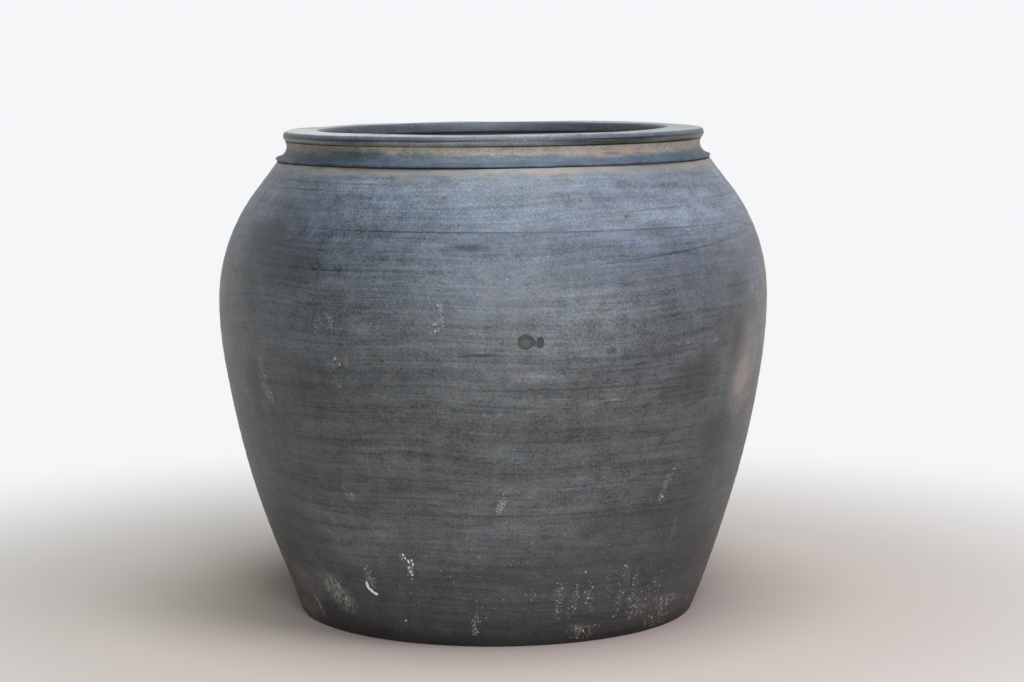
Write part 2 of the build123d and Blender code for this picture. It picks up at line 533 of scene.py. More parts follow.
def ovals(turn, height, spots):
    """Soft ovals: turn, height, half width, half height, strength, and slant if not level."""
    mask = 0.0 * (turn + height)
    for at_turn, at_height, wide, tall, strength, *slant in spots:
        aside = turn - at_turn
        above = height - at_height - aside * sum(slant)
        mask = np.maximum(mask, strength * ease(1, 0, (aside / wide) ** 2 + (above / tall) ** 2))
    return mask


def paint(piece, name, spots):
    """Lays ovals on a piece's points, as a named value that its material reads."""
    points = np.empty(len(piece.data.vertices) * 3)
    piece.data.vertices.foreach_get("co", points)
    x, y, z = points.reshape(-1, 3).T
    mask = ovals(np.degrees(np.arctan2(x, -y)), 1000 * z, spots)
    piece.data.attributes.new(name, "FLOAT", "POINT").data.foreach_set("value", mask)


def painted(tree, name):
    """What paint() laid on the piece under this name."""
    return put(tree, "ShaderNodeAttribute", attribute_name=name).outputs["Fac"]


# Marks round the jar, each a turn in degrees, a height in mm, a half width in degrees, a half height
# in mm, a strength, and a slant in mm for each degree if it isn't level. The front's were left by
# years of use, save one dark oval at the heel that is painted shade. The back and sides get others like
# them.
pick = np.random.default_rng(19)


def others_like(count, low, high, wide, tall, strength):
    """The same kind of mark, scattered over the sides and back."""
    spots = []
    for _ in range(count):
        turn = pick.uniform(84, 172) * pick.choice([-1, 1])
        size = pick.uniform(0.6, 1.3)
        height = pick.uniform(low, high)
        slant = pick.uniform(-4, 4)
        spots.append((turn, height, wide * size, tall * size, strength * size, slant))
    return spots


dark_smoke_and_shade = [
    (-47, 307, 15, 30, 0.34, 0.2), (-56, 282, 3.5, 48, 0.18), (44, 214, 10, 24, 0.30, 0.6),
    (46, 106, 15, 48, 0.30), (57, 150, 9, 28, 0.24), (-52, 345, 10, 22, 0.2),
    (58, 252, 12, 26, 0.22, 0.5), (-40, 210, 8, 22, 0.14), (-30, 262, 16, 22, 0.12),
    (-64, 78, 12, 30, 0.22), (50, 62, 16, 30, 0.2), (36, 236, 8, 4, 0.2, 0.8), (40, 206, 7, 7, 0.3, 0.8),
    (46, 196, 6, 4, 0.24, 1.2), (42, 250, 9, 3.5, 0.2, 0.4), (-4.8, 321.5, 5.5, 4.0, 0.55, -0.1),
    (4, 262, 6, 6, 0.10), (-3, 240.5, 4.5, 1.5, 0.30), (22.9, 241.5, 1.6, 5, 0.34),
    (-56, 322, 13, 22, 0.42, 0.2), (55, 163, 9, 27, 0.42, 0.3), (59, 240, 5, 28, 0.42),
    (58, 74, 14, 24, 0.30), (38, 47, 10, 14, 0.24), (34, 72, 14, 16, 0.16), (-59, 205, 5, 24, 0.38),
    (-58, 104, 8, 20, 0.10), (36, 331, 9, 7, 0.26), (59, 280, 6, 12, 0.26), (-58, 300, 7, 34, 0.3),
    # The next oval, dark along the right of the heel, is painted shade where the jar meets the floor.
    (42, 3, 26, 5, 0.5),
    *others_like(16, 40, 350, 13, 26, 0.28),
]
pale_smoke = [
    (20, 260, 15, 40, 0.34), (62, 342, 34, 36, 0.40), (-34, 84, 15, 26, 0.28), (-12, 306, 12, 20, 0.20),
    (8, 205, 30, 22, 0.14), (-28, 366, 20, 10, 0.2), (-64, 132, 13, 34, 0.12), (30, 330, 14, 14, 0.16),
    (14, 128, 20, 20, 0.16), (-60, 196, 8, 20, 0.12), (4, 345, 20, 16, 0.12), (24, 141, 10, 12, 0.36),
    (74, 350, 10, 40, 0.55), (10, 222, 9, 7, 0.4), (-25, 348, 14, 12, 0.25), (-22, 200, 8, 14, 0.2),
    (-24, 160, 12, 14, 0.25), (0, 160, 7, 12, 0.2), (8, 314, 10, 7, 0.2), (50, 316, 6, 8, 0.25),
    (70, 285, 8, 30, 0.2), (2, 100, 12, 8, 0.28), (-12, 76, 12, 20, 0.3), (-40, 98, 10, 26, 0.28),
    (-55, 42, 16, 20, 0.4), (-68, 9, 9, 14, 1.1), (60, 18, 14, 10, 0.5), (-18, 14, 16, 10, 0.3),
    (-26, 262, 6, 10, 0.3),
    *others_like(14, 40, 350, 16, 30, 0.26),
]
level_lines = [
    (10, 332, 75, 0.9, 0.5, -0.02), (75, 326, 18, 0.9, 0.5, -0.6), (40, 313, 24, 1.0, 0.55, 0.30),
    (-45, 367, 30, 0.8, 0.45), (-50, 361, 24, 0.8, 0.4), (35, 346, 22, 0.8, 0.4, 0.1),
    (-20, 303, 30, 0.8, 0.3), (-3, 240.5, 4.5, 1.0, 0.7), (12, 213, 34, 1.0, 0.42),
    (-34, 213, 14, 0.8, 0.3, 0.1), (26, 172.5, 40, 0.8, 0.35, 0.05), (-40, 186, 22, 0.8, 0.35, -0.1),
    (-14, 141, 30, 0.8, 0.4), (8, 112, 50, 0.9, 0.4), (-20, 106, 20, 0.8, 0.35, -0.1),
    (-26, 137.5, 16, 0.8, 0.4, 0.1), (0, 56.5, 34, 0.8, 0.3), (20, 36.5, 30, 0.8, 0.3),
    (60, 283, 20, 0.8, 0.4, 0.1), (50, 262, 18, 0.8, 0.4, 0.3),
    *others_like(18, 60, 360, 34, 0.9, 0.42),
]
pale_lines = [
    (12, 198, 22, 0.7, 0.5, 0.35), (-2, 194, 12, 0.6, 0.4, 0.1), (24, 203, 9, 0.6, 0.45, 0.3),
    (42, 243, 9, 0.6, 0.6, -0.1), (-16, 334, 26, 0.5, 0.4), (-30, 214, 16, 0.5, 0.35),
    (44, 120, 12, 0.6, 0.4, 0.2), (37, 136, 6, 0.7, 0.5, -0.2), (20, 366, 16, 0.6, 0.4),
    (-6, 364, 24, 0.5, 0.4), (60, 263, 14, 0.6, 0.4, 0.1), (48, 330, 7, 0.6, 0.4, 0.4),
    *others_like(10, 60, 360, 18, 0.6, 0.45),
]
lime = [
    (-10.9, 264, 1.8, 9, 0.85, 2), (-10.3, 276, 0.8, 6, 0.8, -2), (-33.4, 265, 1.0, 8, 0.8, -5),
    (-36.6, 261, 0.9, 7, 0.55, 5), (-52.6, 200, 1.6, 9, 0.9, -3), (-54.5, 214, 1.8, 22, 0.45, -6),
    (-32.6, 224, 2.0, 16, 0.22, -3), (-33.5, 125, 1.8, 9, 0.5, -2), (1.4, 122, 1.4, 8, 0.75, 4),
    (2.0, 128, 0.9, 9, 0.35, 4), (39.6, 124, 1.3, 12, 0.6, 8), (41.2, 136, 1.4, 7, 0.4, 5),
    (-20.6, 67, 1.0, 8, 1.2, 3), (-22.3, 74, 0.7, 5, 1.2, -5), (-32.6, 56, 1.8, 13, 0.45, -2),
    (-5.2, 22, 1.4, 10, 0.42), (-5.4, 13, 1.0, 4, 1.0), (16, 40, 1.6, 18, 0.42, -3),
    (20, 38, 1.6, 16, 0.42, 4), (24, 40, 1.6, 16, 0.34, -4), (33, 44, 1.8, 30, 0.28, -4),
    (37, 42, 1.8, 26, 0.4, 5), (43, 36, 2.6, 14, 0.28, 2), (40, 24, 4, 10, 0.24),
    (-46, 36, 6, 17, 0.5, -1.5), (-57, 20, 1.6, 9, 0.7, -5), (66, 17.5, 1.0, 3, 1.1),
    (69, 72, 1.2, 14, 0.3, 8), (32, 277, 0.7, 3, 0.5), (49.6, 242, 1.0, 4, 0.6, 3),
    (-20, 312, 0.6, 2, 0.6), (2, 298, 1.2, 5, 0.22), (24, 10, 6, 9, 0.26), (50, 10, 8, 10, 0.30),
    (0, 34, 14, 12, 0.03), (10, 60, 60, 50, 0.008), (-8, 44, 3, 5, 0.2), (52, 25, 7, 7, 0.3),
    (29, 46, 1.4, 12, 0.3, -6),
    *others_like(16, 20, 290, 1.6, 12, 0.6),
]
chalk = [
    (-52.6, 197, 1.0, 7, 0.55, -3), (-54, 212, 1.6, 20, 0.22, -6), (-45, 37, 7, 19, 0.6, -1.6),
    (-57, 19, 1.5, 9, 0.8, -5), (-62, 30, 9, 26, 0.35, -1), (-67, 12, 10, 10, 0.5), (50, 24, 9, 9, 0.45),
    (1.4, 121, 1.2, 7, 0.5, 4), (39.8, 126, 1.2, 14, 0.34, 8), (-33.4, 58, 1.4, 9, 0.34, -2),
    (-33.5, 125, 1.4, 8, 0.28, -2), (-43, 42, 0.35, 12, 0.5, -14), (-25.6, 103, 4.5, 6, 0.24, -1.8),
    (22, 12, 2.6, 5, 0.4), (34, 58, 1.4, 22, 0.28, -9), (46, 88, 1.2, 24, 0.22, 6),
    (-52, 60, 6, 22, 0.16, -2), (43, 22, 7, 8, 0.24), (-30, 236, 1.0, 14, 0.22, -3),
    (-12, 284, 1.4, 6, 0.25), (69, 74, 0.8, 12, 0.5, 8), (42, 243, 8, 0.8, 0.3, -0.1),
    (-38, 86, 9, 9, 0.14, -0.6),
    *others_like(10, 24, 260, 1.8, 14, 0.4),
]
chips = [
    (-33.9, 47.5, 0.5, 4.2, 1.0, -3), (-33.0, 43.4, 0.9, 1.9, 1.0, -2.2),
    (-31.9, 41.2, 0.7, 1.5, 1.0, -0.6), (-22.0, 77.5, 0.28, 1.3, 1.0, -3), (-21.6, 74.7, 0.26, 1.1, 1.0),
    (-20.9, 72.2, 0.32, 1.6, 1.0, -3), (-20.0, 73.2, 0.26, 1.2, 0.9, 3), (-19.8, 70.1, 0.28, 1.3, 1.0),
    (-21.0, 66.9, 0.24, 1.1, 0.8), (-20.7, 63.8, 0.24, 1.2, 0.9), (-20.4, 61.1, 0.26, 1.1, 0.9),
]
rust = [
    (-11, 358, 0.6, 1.6, 1.0), (6.3, 294, 0.7, 1.9, 1.0), (13, 298, 0.7, 1.1, 1.0),
    (19.5, 355, 0.7, 1.6, 0.8), (29.5, 342, 1.0, 1.8, 0.7), (26, 339, 4, 1.2, 0.4),
    (0.6, 300, 0.5, 1.2, 0.8), (-8, 262, 0.5, 1.4, 0.8),
    *others_like(8, 150, 350, 0.7, 1.8, 0.9),
]
tan_spots = [
    (-38, 377, 12, 3.4, 1.0), (-27, 377, 7, 3.0, 0.8), (4, 377, 16, 3.4, 0.9, 0.02),
    (16, 377, 10, 3.6, 0.9, 0.05), (29, 377.5, 5, 2.6, 1.0, 0.1), (66, 377, 16, 2.2, 0.7),
    (-12, 378, 10, 1.8, 0.6), (110, 377, 16, 3.0, 0.8), (150, 377, 20, 3.0, 0.8),
    (-100, 377, 16, 2.6, 0.8), (-150, 377, 16, 3.0, 0.8),
]


def angle_from(angle, middle):
    """Signed angle from a middle direction, from minus to plus half a turn."""
    return (angle - middle + math.pi) % (2 * math.pi) - math.pi


joint_depth = 0.00022  # of the open line at a joint, and below it the depths of the other tool marks
lap_height = 0.00010
chatter_depth = 0.00005
line_depth = 0.00013
chip_depth = 0.0005
finger_depth = 0.0007
finger_spacing = 0.019


def outer_relief(angle, height, radius):
    """The outer wall's unevenness: slow lumps, turning ridges, joints and the scraper's chatter."""
    rising = ease(0.004, 0.03, height)
    lumps = 0.0006 * rising * uneven(angle, height, 21, 6, 14, 0.16)
    weight = 0.6 + 0.4 * uneven(angle, height, 22, 4, 6, 0.08)
    ridges = 0
    for spacing, depth, start in ((0.0047, 0.00003, 0.4), (0.0083, 0.00005, 2.0), (0.0137, 0.00008, 4.4)):
        waver = start + 0.8 * np.sin(angle + start)
        ridges = ridges + depth * np.sin(2 * math.pi * height / spacing + waver)
    relief = lumps + ridges * weight * rising
    for number, joint in enumerate(joints):
        open_here = 0.35 + 0.65 * ease(-0.3, 0.7, uneven(angle, 0 * angle, 40 + number, 14, 14, 1.0))
        gap = np.exp(-(((height - joint) / 0.0011) ** 2))
        lap = np.where(height >= joint, np.exp(-(np.abs(height - joint)) / 0.010), 0)
        relief = relief - joint_depth * open_here * gap + lap_height * lap
    chatter = np.exp(-((np.abs(angle_from(angle, math.radians(-45))) / math.radians(26)) ** 4))
    chatter = chatter * np.exp(-(((height - 0.352) / 0.016) ** 4))
    beat = angle * 140 + 90 * (height - 0.35) + 2 * uneven(angle, height, 24, 9, 6, 0.05)
    relief = relief + chatter_depth * chatter * np.sin(beat)
    turn = np.degrees(angle_from(angle, 0))
    relief = relief - line_depth * ovals(turn, 1000 * height, level_lines)
    return relief - chip_depth * ovals(turn, 1000 * height, chips)


def inner_relief(angle, height, radius):
    """Inside, the coils were drawn up with the fingers and never scraped, so it is rougher."""
    lumps = 0.0011 * uneven(angle, height, 31, 9, 18, 0.09)
    waver = 1.2 * np.sin(angle + 1) + 0.5 * np.sin(3 * angle)
    fingers = finger_depth * np.sin(2 * math.pi * height / finger_spacing + waver)
    fade = ease(slab_top, slab_top + 0.03, height) * ease(seat_height, seat_height - 0.01, height)
    return (lumps + fingers) * fade


painted_marks = {
    "dark_smoke_and_shade": dark_smoke_and_shade, "pale_smoke": pale_smoke, "level_lines": level_lines,
    "pale_lines": pale_lines, "lime": lime, "chalk": chalk, "rust": rust, "tan_spots": tan_spots,
}

wall_material, tree, shader, place, where = clay_material("smoked_wall_clay", 0.5)
clay = use(tree, clay_group, place=place)
lines = use(tree, lines_group, place=place)
drift = times(tree, total(tree, 0.0, (clay["Clouds"], 90.0)), ramp(tree, where["Height"], 30.0, 120.0))
# Colour by height. It is partly the smoked clay's own tone and partly painted light: the heel's darkest
# steps are painted shade where the jar meets the floor, and the lighter blue steps up the shoulder are
# partly a painted sky sheen.
tone = ladder(
    tree, plus(tree, where["Height"], drift),
    (0, (0.009, 0.008, 0.007)), (7, (0.017, 0.016, 0.015)), (14, (0.030, 0.028, 0.027)),
    (25, (0.038, 0.037, 0.037)), (30, (0.048, 0.047, 0.048)), (60, (0.050, 0.050, 0.050)),
    (84, (0.065, 0.067, 0.068)), (108, (0.078, 0.080, 0.079)), (140, (0.088, 0.089, 0.087)),
    (180, (0.086, 0.086, 0.083)), (212, (0.091, 0.092, 0.090)), (244, (0.112, 0.114, 0.116)),
    (276, (0.112, 0.119, 0.127)), (308, (0.100, 0.110, 0.129)), (340, (0.116, 0.130, 0.157)),
    (366, (0.134, 0.146, 0.171)),
)
tint = total(tree, 1.0, (clay["Clouds"], 0.6), (clay["Mottle"], 1.35), (clay["Grain"], 2.5),
             (lines["Broad"], 0.8), (lines["Fine"], 1.2), (lines["Rubs"], 0.45))
broken = total(tree, 1.0, (clay["Mottle"], 1.6), (lines["Broad"], 1.6))
tint = times(tree, tint, less(tree, times(tree, painted(tree, "dark_smoke_and_shade"), broken)))
tint = times(tree, tint, plus(tree, 1.0, times(tree, painted(tree, "pale_smoke"), broken)))
ragged = ramp(tree, noise(tree, stretched(tree, place, 60.0, 120.0), detail=3.0), 0.32, 0.56)
line_marks = times(tree, painted(tree, "level_lines"), times(tree, ragged, 0.75))
crisp = marks(
    tree, where,
    (10, 332.2, 78, 0.8, 0.62, -0.02), (75, 326, 18, 0.8, 0.5, -0.6), (40, 313, 27, 0.9, 0.6, 0.30),
    (35, 346, 24, 0.7, 0.45, 0.1), (-45, 367, 30, 0.7, 0.45), (-50, 361, 24, 0.7, 0.4),
    (12, 213, 34, 0.8, 0.4), (8, 112, 50, 0.8, 0.35),
)
crisp = times(tree, crisp, total(tree, 0.8, (lines["Rubs"], 1.6)))
line_marks = calc(tree, "MAXIMUM", line_marks, crisp)
scored = calc(tree, "MAXIMUM", line_marks, times(tree, lines["Scores"], 0.14))
tint = times(tree, tint, less(tree, scored))
pale_marks = times(tree, painted(tree, "pale_lines"), ragged)
tint = times(tree, tint, plus(tree, 1.0, pale_marks))
chatter = calc(tree, "SINE", times(tree, total(tree, where["Turn"], (lines["Rubs"], 9.0)), 2.44))
chatter = times(tree, total(tree, 0.0, (chatter, 0.5), (lines["Rubs"], 5.0)),
               marks(tree, where, (-42, 346, 38, 26, 0.12), (120, 340, 40, 24, 0.12)))
tint = times(tree, tint, plus(tree, 1.0, chatter))
tone = tinted(tree, dim(tree, tone, tint), clay["Warmth"])

# The pale pink flash where the flame reached the clay, the tan clay left bare under the collar, the
# dark wet-looking drips, and the rust spots
flash = marks(
    tree, where,
    (62.8, 207, 6.2, 26, 1.0, 0.8), (64.5, 214, 9, 52, 0.5, 1.2), (80, 262, 12, 60, 0.4),
)
flash = times(tree, flash, total(tree, 0.95, (clay["Mottle"], 1.6), (lines["Broad"], 1.6)))
tone = blend(tree, flash, tone, (0.275, 0.220, 0.190))
bare = noise(tree, stretched(tree, place, 45.0, 160.0), detail=4.0, roughness=0.65)
band = ramp(tree, total(tree, where["Height"], (bare, 24.0)), 369.0, 377.0)
tone = blend(tree, times(tree, band, 0.65), tone, (0.245, 0.212, 0.180))
spots = times(tree, painted(tree, "tan_spots"), ramp(tree, bare, 0.38, 0.56))
tone = blend(tree, times(tree, spots, 0.65), tone, (0.32, 0.25, 0.18))
drips = marks(
    tree, where,
    (6.0, 250.4, 1.75, 7.0, 2.2), (8.8, 249.8, 0.85, 5.2, 2.0), (7.2, 250.0, 1.0, 3.0, 1.6),
)
wet = ramp(tree, drips, 0.1, 0.45)
tone = blend(tree, wet, tone, (0.040, 0.042, 0.036))
tone = blend(tree, marks(tree, where, (6.0, 250.4, 1.2, 4.6, 0.85)), tone, (0.078, 0.080, 0.064))
tone = blend(tree, painted(tree, "rust"), tone, (0.085, 0.045, 0.028))

# Lime flecks and chalky rubs, thicker near the foot
streaks = noise(tree, stretched(tree, place, 420.0, 110.0), detail=3.0, roughness=0.7)
thin_chalk = ramp(tree, streaks, 0.42, 0.66)
chalky = times(tree, painted(tree, "chalk"), thin_chalk)
tone = blend(tree, chalky, tone, (0.34, 0.325, 0.285))
density = plus(tree, times(tree, painted(tree, "lime"), 0.75), 0.0004)
big = use(tree, fleck_group, place=place, density=times(tree, density, 0.5), size=1.9)
small = use(tree, fleck_group, place=place, density=times(tree, density, 1.8), size=1.1)
fleck_colour = blend(tree, ramp(tree, big["Pick"], 0.35, 0.6), (0.56, 0.56, 0.53), (0.47, 0.40, 0.26))
flecked = calc(tree, "MAXIMUM", times(tree, big["Mask"], 0.85), times(tree, small["Mask"], 0.6))
tone = blend(tree, flecked, tone, fleck_colour)
chipped = ramp(tree, marks(tree, where, *chips), 0.12, 0.4)
tone = blend(tree, chipped, tone, (0.72, 0.72, 0.70))

height = total(tree, 0.0, (lines["Fine"], 0.14), (lines["Broad"], 0.30), (lines["Scores"], -0.06),
               (clay["Mottle"], 0.35))
height = plus(tree, height, clay["Height"])
height = times(tree, height, less(tree, wet))
rough = total(tree, 0.50, (clay["Clouds"], 0.25), (clay["Grain"], 0.15), (lines["Fine"], 0.12))
rough = plus(tree, rough, times(tree, calc(tree, "MAXIMUM", flecked, chalky), 0.35))
rough = calc(tree, "SUBTRACT", rough, times(tree, wet, 0.12), clamp=True)
join_shader(tree, shader, tone, height, rough)

inside_material, tree, shader, place, where = clay_material("inner_wall_clay", 0.72)
clay = use(tree, clay_group, place=place, coarseness=1.6)
lines = use(tree, lines_group, place=place)
# The top steps, lighter towards the mouth, are painted light that lifts the shade inside the shoulder.
tone = ladder(
    tree, where["Height"],
    (20, (0.075, 0.068, 0.058)), (90, (0.050, 0.046, 0.042)), (240, (0.044, 0.041, 0.038)),
    (340, (0.075, 0.070, 0.064)), (372, (0.190, 0.182, 0.172)),
)
tint = total(tree, 1.0, (clay["Clouds"], 1.0), (lines["Broad"], 0.8), (clay["Grain"], 0.8))
tone = dim(tree, tone, tint)
settled = times(tree, ramp(tree, where["Height"], 120.0, 20.0), ramp(tree, clay["Clouds"], 0.4, 0.65))
tone = blend(tree, times(tree, settled, 0.5), tone, (0.15, 0.135, 0.11))
crumbs = use(tree, fleck_group, place=place, density=0.02, size=2.8)
tone = blend(tree, times(tree, crumbs["Mask"], 0.6), tone, (0.30, 0.27, 0.21))
height = plus(tree, times(tree, clay["Height"], 1.8), times(tree, lines["Broad"], 0.7))
join_shader(tree, shader, tone, height)

for name, low, high in zip(courses, course_ends, course_ends[1:]):
    if low == 0.0:
        outside = skin(heel_outside(), outer_relief)
        inside = skin(heel_inside()[::-1], inner_relief)
    else:
        top_inside = inner_end(high) if high != seat_height else seat_height
        outside = skin(upright_run(low, high, outer_step), outer_relief)
        inside = skin(upright_run(inner_end(low), top_inside, inner_step, wall)[::-1], inner_relief)
    rows = np.concatenate([outside, face_between(outside[-1], inside[0], 4), inside,
                           face_between(inside[-1], outside[0], 4)])
    piece = clay_piece(name + "_clay", rows)
    slot = "foot_clay" if name == "heel_course" else "wall_clay"
    finish_piece(piece, name, slot, wall_material, inside_material)
    for mark, spots in painted_marks.items():
        paint(piece, mark, spots)
    inner_faces = np.zeros(len(piece.data.polygons), np.int32)
    inner_faces[(len(outside) + 2) * columns : (len(outside) + 3 + len(inside)) * columns] = 1
    piece.data.polygons.foreach_set("material_index", inner_faces)

# --------------------------------------
# Collar
# A ring of clay with a hollow waist, set on the shoulder. Its lower lip was pressed down over the
# shoulder but never smoothed in, so a ragged crack runs under it, darkened with painted shade.
# --------------------------------------
collar_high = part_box("collar_ring")[1]
lip_radius = collar_high.x
lip_height = 0.3809
lip_nose = 0.0017
waist_radius = 0.1724
waist_height = 0.3920
rim_bottom = collar_high.z
rim_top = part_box("rim_flange")[1].z
crack_depth = 0.0024
collar_inner_top = 0.157
lip_top = (lip_radius - lip_nose, lip_height + lip_nose)
cove_width = lip_top[0] - waist_radius
cove_radius = (cove_width**2 + (waist_height - lip_top[1]) ** 2) / (2 * cove_width)
cove_centre = (waist_radius + cove_radius, waist_height)
cove_foot = 180 + math.degrees(math.acos((cove_centre[0] - lip_top[0]) / cove_radius))
cove_head = 180 - math.degrees(math.asin((rim_bottom - waist_height) / cove_radius))


def collar_relief(angle, height, radius):
    """Lumps all over, and a lip that was pinched down by hand, so its edge wanders."""
    lip = np.exp(-(((height - lip_height) / 0.0018) ** 2))
    ragged = 0.00045 * uneven(angle, 0 * height, 51, 60, 40, 1.0)
    ragged = ragged + 0.0006 * uneven(angle, 0 * height, 52, 9, 12, 1.0)
    lumps = 0.0004 * uneven(angle, height, 53, 6, 10, 0.05) * ease(rim_bottom, rim_bottom - 0.004, height)
    return lumps + ragged * lip


under = [
    (wall_radius(seat_height) - crack_depth, seat_height + 0.0002),
    (lip_radius - 0.0024, seat_height + 0.0006),
]
nose = arc((lip_radius - lip_nose, lip_height), lip_nose, -75, 90, 8)
cove = arc(cove_centre, cove_radius, cove_foot, cove_head, 18)[1:]
outside = skin(np.concatenate([under, nose, cove]), collar_relief)
inner_radii = np.linspace(collar_inner_top, float(wall_radius(seat_height, wall)), 7)
inner_heights = np.linspace(rim_bottom, seat_height, 7)
inner_face = np.stack([inner_radii, inner_heights], axis=1)
inside = skin(inner_face, no_relief)
top_face = face_between(outside[-1], inside[0], 4)
rows = np.concatenate([outside, top_face, inside, face_between(inside[-1], outside[0], 5)])
collar = clay_piece("collar_ring_clay", rows, sharp=50)

collar_material, tree, shader, place, where = clay_material("collar_clay", 0.5)
clay = use(tree, clay_group, place=place)
lines = use(tree, lines_group, place=place)
bare = noise(tree, stretched(tree, place, 40.0, 150.0), detail=4.0, roughness=0.65)
level = total(tree, where["Height"], (bare, 9.0), (clay["Clouds"], 6.0))
tone = ladder(
    tree, level,
    (379.5, (0.046, 0.050, 0.056)), (381.5, (0.068, 0.082, 0.104)), (384.5, (0.073, 0.092, 0.126)),
    (388, (0.112, 0.128, 0.148)), (391, (0.280, 0.252, 0.212)), (395, (0.310, 0.275, 0.228)),
)
tint = total(tree, 1.0, (clay["Clouds"], 0.5), (clay["Mottle"], 1.5), (clay["Grain"], 2.2),
             (lines["Fine"], 0.6))
sooty = marks(
    tree, where,
    (-50, 388, 22, 16, 0.40), (-78, 388, 14, 16, 0.25), (70, 386, 20, 12, 0.2),
    (170, 388, 40, 16, 0.3),
)
tint = times(tree, tint, less(tree, sooty))
tone = tinted(tree, dim(tree, tone, tint), clay["Warmth"])
orange = marks(
    tree, where,
    (38, 391.5, 14, 5.0, 1.0, 0.03), (30, 390, 22, 5.0, 0.7), (14, 391.5, 12, 4.0, 0.5),
    (66, 392, 12, 4, 0.6), (-30, 392.5, 3, 4, 0.7), (-12, 391, 12, 3.5, 0.35),
    (120, 391, 30, 4, 0.6), (-130, 391, 30, 4, 0.6),
)
orange = times(tree, orange, ramp(tree, bare, 0.36, 0.60))
tone = blend(tree, times(tree, orange, 0.85), tone, (0.36, 0.255, 0.165))
specks = use(tree, fleck_group, place=place, density=0.02, size=1.4)
tone = blend(tree, times(tree, specks["Mask"], 0.5), tone, (0.42, 0.40, 0.34))
# Painted light: the collar's inside is made pale to lift the shade under the rim's overhang.
tone = blend(tree, ramp(tree, where["Radius"], 168.0, 164.0), tone, (0.30, 0.295, 0.285))
# Painted shade: dark in the crevice under the rim and in the crack under the lip.
crevice_shade = times(tree, ramp(tree, where["Height"], 395.0, 395.9), ramp(tree, where["Radius"], 164.0, 168.0))
lip_crack_shade = ramp(tree, total(tree, where["Height"], (clay["Mottle"], 1.5)), 380.3, 379.6)
tone = blend(tree, calc(tree, "MAXIMUM", crevice_shade, lip_crack_shade), tone, (0.030, 0.027, 0.025))
height = plus(tree, times(tree, clay["Height"], 1.4), times(tree, lines["Fine"], 0.12))
rough = total(tree, 0.52, (clay["Clouds"], 0.3), (clay["Grain"], 0.2))
join_shader(tree, shader, tone, height, rough)
finish_piece(collar, "collar_ring", "collar_clay", collar_material)

# --------------------------------------
# Rim
# A flat strap of clay laid on the collar and smoothed with a wet cloth. Its outer edge is round,
# and it overhangs the mouth inside. Its top is painted pale, partly for wear by hands and lids and partly as
# a painted sheen of bright light at a low angle.
# --------------------------------------
rim_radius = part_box("rim_flange")[1].x
rim_foot_radius = 0.1724
rim_nose = (rim_top - rim_bottom) / 2
mouth_radius = 0.1429
mouth_rounding = 0.002


def rim_relief(angle, height, radius):
    """A wavering top and edge, and a shallow line dragged round the edge by the cloth."""
    edge = ease(0.165, 0.172, radius)
    wander = 0.0007 * uneven(angle, 0 * height, 64, 9, 10, 1.0)
    wander = wander + 0.0003 * uneven(angle, 0 * height, 65, 40, 20, 1.0)
    drag = np.exp(-(((height - 0.4001 - wander) / 0.0005) ** 2)) * edge
    rolls = 0.00025 * uneven(angle, radius, 61, 7, 12, 0.03)
    rolls = rolls + 0.0004 * edge * uneven(angle, height, 62, 12, 14, 0.05)
    return rolls - 0.0004 * drag


def level_run(start, stop, height, count):
    """Section points along a level face, without its two ends."""
    return np.stack([np.linspace(start, stop, count), np.full(count, height)], axis=1)[1:-1]


foot_turn = -math.degrees(math.asin((rim_nose - 0.00095) / rim_nose))
outer_edge = arc((rim_radius - rim_nose, rim_top - rim_nose), rim_nose, foot_turn, 90, 30)
inner_top = arc((mouth_radius + mouth_rounding, rim_top - mouth_rounding), mouth_rounding, 90, 180, 6)
inner_low = arc((mouth_radius + mouth_rounding, rim_bottom + mouth_rounding), mouth_rounding, 180, 270, 6)
section = np.concatenate([
    [(rim_foot_radius, rim_bottom)],
    outer_edge,
    level_run(rim_radius - rim_nose, mouth_radius + mouth_rounding, rim_top, 16),
    inner_top,
    inner_low,
    level_run(mouth_radius + mouth_rounding, rim_foot_radius, rim_bottom, 12),
])
rim = clay_piece("rim_flange_clay", skin(section, rim_relief))

rim_material, tree, shader, place, where = clay_material("rim_clay", 0.4)
clay = use(tree, clay_group, place=place)
lines = use(tree, lines_group, place=place)
tilt = times(tree, put(tree, "ShaderNodeSeparateXYZ", {0: place}).outputs[0], -1000 * rim_slope)
true_height = plus(tree, where["Height"], tilt)
wander = noise(tree, stretched(tree, place, 30.0, 60.0), detail=3.0)
level = total(tree, true_height, (wander, 1.3))
# Painted light in these steps: the dark lowest step under the flange is painted shade. The blue steps over
# the nose's upper round are partly a painted sky sheen, and the pale top step is partly edge wear and partly
# a painted highlight.
tone = ladder(
    tree, level,
    (395.5, (0.080, 0.070, 0.056)), (396.6, (0.235, 0.218, 0.184)), (399.0, (0.232, 0.222, 0.192)),
    (399.9, (0.034, 0.034, 0.036)), (400.8, (0.068, 0.077, 0.096)), (402.6, (0.095, 0.108, 0.137)),
    (403.7, (0.150, 0.160, 0.176)),
)
dark_band = marks(
    tree, where,
    (34, 399.5, 26, 4.5, 0.75, 0.02), (60, 399, 20, 3.5, 0.6), (-44, 399, 16, 3, 0.45),
)
tone = dim(tree, tone, less(tree, times(tree, dark_band, ramp(tree, level, 401.4, 400.2))))
inner = ramp(tree, where["Radius"], 149.0, 144.5)
tone = blend(tree, inner, tone, (0.090, 0.098, 0.115))
tint = total(tree, 1.0, (clay["Clouds"], 0.5), (clay["Mottle"], 1.3), (clay["Grain"], 2.0),
             (lines["Fine"], 0.5))
tone = tinted(tree, dim(tree, tone, tint), clay["Warmth"])
